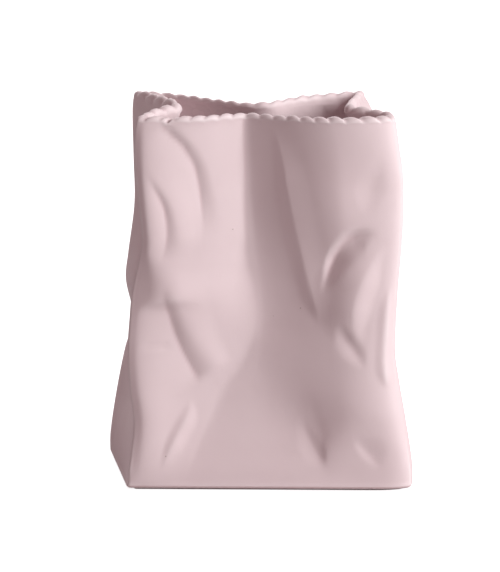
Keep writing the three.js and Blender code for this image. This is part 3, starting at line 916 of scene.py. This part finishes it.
def iron_specks(nodes, links):
    place = nodes.new("ShaderNodeTexCoord")
    cells = nodes.new("ShaderNodeTexVoronoi")
    cells.inputs["Scale"].default_value = SPECK_CELLS
    links.new(place.outputs["Object"], cells.inputs["Vector"])
    dot = ranged(nodes, links, cells.outputs["Distance"], SPECK_EDGE, (1, 0))
    chosen = nodes.new("ShaderNodeSeparateColor")
    links.new(cells.outputs["Color"], chosen.inputs["Color"])
    rare = ranged(nodes, links, chosen.outputs["Red"], SPECK_CHOICE, (0, SPECK_STRENGTH))
    return product(nodes, links, dot, rare)


print("specks up to", round(2 * SPECK_EDGE[1] / SPECK_CELLS / MM, 1), "mm across")

# %% Bisque outside
BISQUE = (0.825, 0.705, 0.722, 1)
BISQUE_DEEP = (0.79, 0.655, 0.672, 1)
BISQUE_RUBBED = (0.865, 0.77, 0.782, 1)
# Painted shade: a deeper pink laid on the creases.
BISQUE_PAINTED_SHADE = (0.73, 0.56, 0.58, 1)
IRON = (0.3, 0.2, 0.18, 1)
DRIFT_SCALE = 18
MOTTLE_SCALE = 160
PATCH_SCALE = 70
DULL_SCALE = 45
GRAIN_SCALE = 900
MIDDLE_NOISE = (0.3, 0.7)
BISQUE_ROUGHNESS = (0.46, 0.58)

bisque, nodes, links, shader = new_material("pink_bisque")
drift = noise(nodes, links, DRIFT_SCALE, detail=3)
tone = tinted(nodes, links, drift, BISQUE, BISQUE_DEEP)
mottle = noise(nodes, links, MOTTLE_SCALE, detail=2)
mottle = ranged(nodes, links, mottle, given=(0.55, 0.75), wanted=(0, 0.25))
tone = tinted(nodes, links, mottle, tone, BISQUE_DEEP)
patches = noise(nodes, links, PATCH_SCALE, detail=3)
patches = ranged(nodes, links, patches, given=(0.35, 0.65), wanted=(0.35, 0.9))
rubbing = product(nodes, links, kept_on_points(nodes, "rubbed"), patches)
tone = tinted(nodes, links, rubbing, tone, BISQUE_RUBBED)
# Painted shade: the creases are darkened towards a deeper pink.
painted_shade = ranged(nodes, links, kept_on_points(nodes, "painted_crease_shade"), given=(0, 1), wanted=(0, 0.6))
tone = tinted(nodes, links, painted_shade, tone, BISQUE_PAINTED_SHADE)
tone = tinted(nodes, links, iron_specks(nodes, links), tone, IRON)
links.new(tone, shader.inputs["Base Color"])
dull = noise(nodes, links, DULL_SCALE, detail=3)
dull = ranged(nodes, links, dull, MIDDLE_NOISE, BISQUE_ROUGHNESS)
links.new(dull, shader.inputs["Roughness"])
grain = noise(nodes, links, GRAIN_SCALE, detail=4, roughness=0.6)
grainy(nodes, links, shader, grain, strength=0.08, distance=0.0003)
print("made", bisque.name, "from", len(nodes), "nodes")

# %% [markdown]
# ## Glaze
# From just below the teeth down, the inside carries a clear glaze so that it holds water. Glaze is a
# thin layer of glass. A second shader could be laid over the first, but the same pink made smoother
# and faintly wavy looks the same through a narrow mouth, and stays simple.

# %% Glaze inside
GLAZE_DRIFT_SCALE = 25
GLAZE_SHINE_SCALE = 60
GLAZE_WAVE_SCALE = 140
GLAZE_ROUGHNESS = (0.22, 0.34)

glaze, nodes, links, shader = new_material("clear_glaze")
drift = noise(nodes, links, GLAZE_DRIFT_SCALE, detail=2)
tone = tinted(nodes, links, drift, BISQUE, BISQUE_DEEP)
# Painted shade: the creases inside are darkened towards a deeper pink as well.
painted_shade = ranged(nodes, links, kept_on_points(nodes, "painted_crease_shade"), given=(0, 1), wanted=(0, 0.5))
tone = tinted(nodes, links, painted_shade, tone, BISQUE_PAINTED_SHADE)
links.new(tone, shader.inputs["Base Color"])
shine = noise(nodes, links, GLAZE_SHINE_SCALE, detail=2)
shine = ranged(nodes, links, shine, MIDDLE_NOISE, GLAZE_ROUGHNESS)
links.new(shine, shader.inputs["Roughness"])
waves = noise(nodes, links, GLAZE_WAVE_SCALE, detail=2)
grainy(nodes, links, shader, waves, strength=0.05, distance=0.0004)
print("made", glaze.name, "from", len(nodes), "nodes")

# %% [markdown]
# ## The sanded foot
# After firing, a foot is rubbed on wet grit so that it doesn't scratch a table. That leaves it bare,
# rougher than the bisque and a little darker. The same recipe with finer and stronger noise gives that.

# %% Sanded foot
SANDED_DARK = (0.7, 0.52, 0.53, 1)
SAND_MARK_SCALE = 120
SAND_DULL_SCALE = 300
SAND_GRAIN_SCALE = 1200
SANDED_ROUGHNESS = (0.78, 0.92)

sanded, nodes, links, shader = new_material("sanded_foot")
marks = noise(nodes, links, SAND_MARK_SCALE, detail=5, roughness=0.7)
tone = tinted(nodes, links, marks, BISQUE_DEEP, SANDED_DARK)
tone = tinted(nodes, links, iron_specks(nodes, links), tone, IRON)
links.new(tone, shader.inputs["Base Color"])
dull = noise(nodes, links, SAND_DULL_SCALE, detail=3)
dull = ranged(nodes, links, dull, MIDDLE_NOISE, SANDED_ROUGHNESS)
links.new(dull, shader.inputs["Roughness"])
grain = noise(nodes, links, SAND_GRAIN_SCALE, detail=4, roughness=0.6)
grainy(nodes, links, shader, grain, strength=0.15, distance=0.0003)
print("made", sanded.name, "from", len(nodes), "nodes")

# %% [markdown]
# ## Putting the vase together
# The skin becomes a mesh, and each face takes the material of its zone: foot, outside or inside. The
# vase has no moving parts, so it rides on the root body, and it replaces all the solids of the frame.

# %% Put the vase together
bag_data = bpy.data.meshes.new("porcelain_bag")
for face in bag_mesh.faces:
    face.smooth = True
    face.material_index = face[zone_layer]
bag_mesh.to_mesh(bag_data)
bag_mesh.free()
for material in (sanded, bisque, glaze):
    bag_data.materials.append(material)
vase = bpy.data.objects.new("porcelain_bag", bag_data)
bpy.context.scene.collection.objects.link(vase)
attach(vase, "root")
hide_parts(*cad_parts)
print("vase faces:", len(bag_data.polygons))

# %% [markdown]
# ## Floor and light
# The vase stands on a white floor with a tall soft box to its right front, so faces turned right are
# pale and faces turned left fall into soft shade. A weaker lamp behind stands for a white wall that
# sends light back. Shade on pale pink clay is warm, so the light from all around is a little pink. The
# floor and the world are white for the camera alone, so that the ground is white in the picture while
# the light on the vase stays as it is.

# %% Floor
FLOOR_SIZE = 6
FLOOR_TONE = (0.65, 0.65, 0.65, 1)
FLOOR_ROUGHNESS = 0.9
FLOOR_GLOW = 0.85
WHITE = (1, 1, 1, 1)

floor_mesh = bmesh.new()
bmesh.ops.create_grid(floor_mesh, x_segments=1, y_segments=1, size=FLOOR_SIZE)
floor_data = bpy.data.meshes.new("floor")
floor_mesh.to_mesh(floor_data)
floor_mesh.free()
floor = bpy.data.objects.new("floor", floor_data)
bpy.context.scene.collection.objects.link(floor)
white, nodes, links, shader = new_material("white_floor")
shader.inputs["Base Color"].default_value = FLOOR_TONE
shader.inputs["Roughness"].default_value = FLOOR_ROUGHNESS
shader.inputs["Emission Color"].default_value = WHITE
rays = nodes.new("ShaderNodeLightPath")
level = nodes.new("ShaderNodeMath")
level.operation = "MULTIPLY"
level.inputs[1].default_value = FLOOR_GLOW
links.new(rays.outputs["Is Camera Ray"], level.inputs[0])
links.new(level.outputs["Value"], shader.inputs["Emission Strength"])
floor_data.materials.append(white)
print("floor laid,", [round(side, 1) for side in floor.dimensions[:2]], "m")

# %% World
AMBIENT = (0.215, 0.132, 0.137, 1)

world = bpy.data.worlds.new("studio")
world.use_nodes = True
bpy.context.scene.world = world
bpy.context.scene.view_settings.view_transform = "Standard"
nodes, links = world.node_tree.nodes, world.node_tree.links
rays = nodes.new("ShaderNodeLightPath")
seen = nodes.new("ShaderNodeMix")
seen.data_type = "RGBA"
seen.inputs["A"].default_value = AMBIENT
seen.inputs["B"].default_value = WHITE
links.new(rays.outputs["Is Camera Ray"], seen.inputs["Factor"])
links.new(seen.outputs["Result"], nodes["Background"].inputs["Color"])
print("ambient light:", AMBIENT[:3])

# %% Lamps: name, power, turn to the right and rise in degrees, distance, width and height
LAMPS = [
    ("soft_box", 88, 63, 24, 3, 0.7, 1.8),
    ("white_wall", 18, -158, 40, 2.2, 1.2, 1.2),
]
for name, power, turn, rise, distance, width, height in LAMPS:
    lamp_data = bpy.data.lights.new(name, "AREA")
    lamp_data.shape = "RECTANGLE"
    lamp_data.size = width
    lamp_data.size_y = height
    lamp_data.energy = power
    lamp = bpy.data.objects.new(name, lamp_data)
    turn, rise = math.radians(turn), math.radians(rise)
    way = Vector((math.sin(turn) * math.cos(rise), -math.cos(turn) * math.cos(rise), math.sin(rise)))
    lamp.location = CAMERA_AIM + way * distance
    lamp.rotation_euler = (-way).to_track_quat("-Z", "Y").to_euler()
    bpy.context.scene.collection.objects.link(lamp)
    print(name, "at", [round(value, 2) for value in lamp.location])
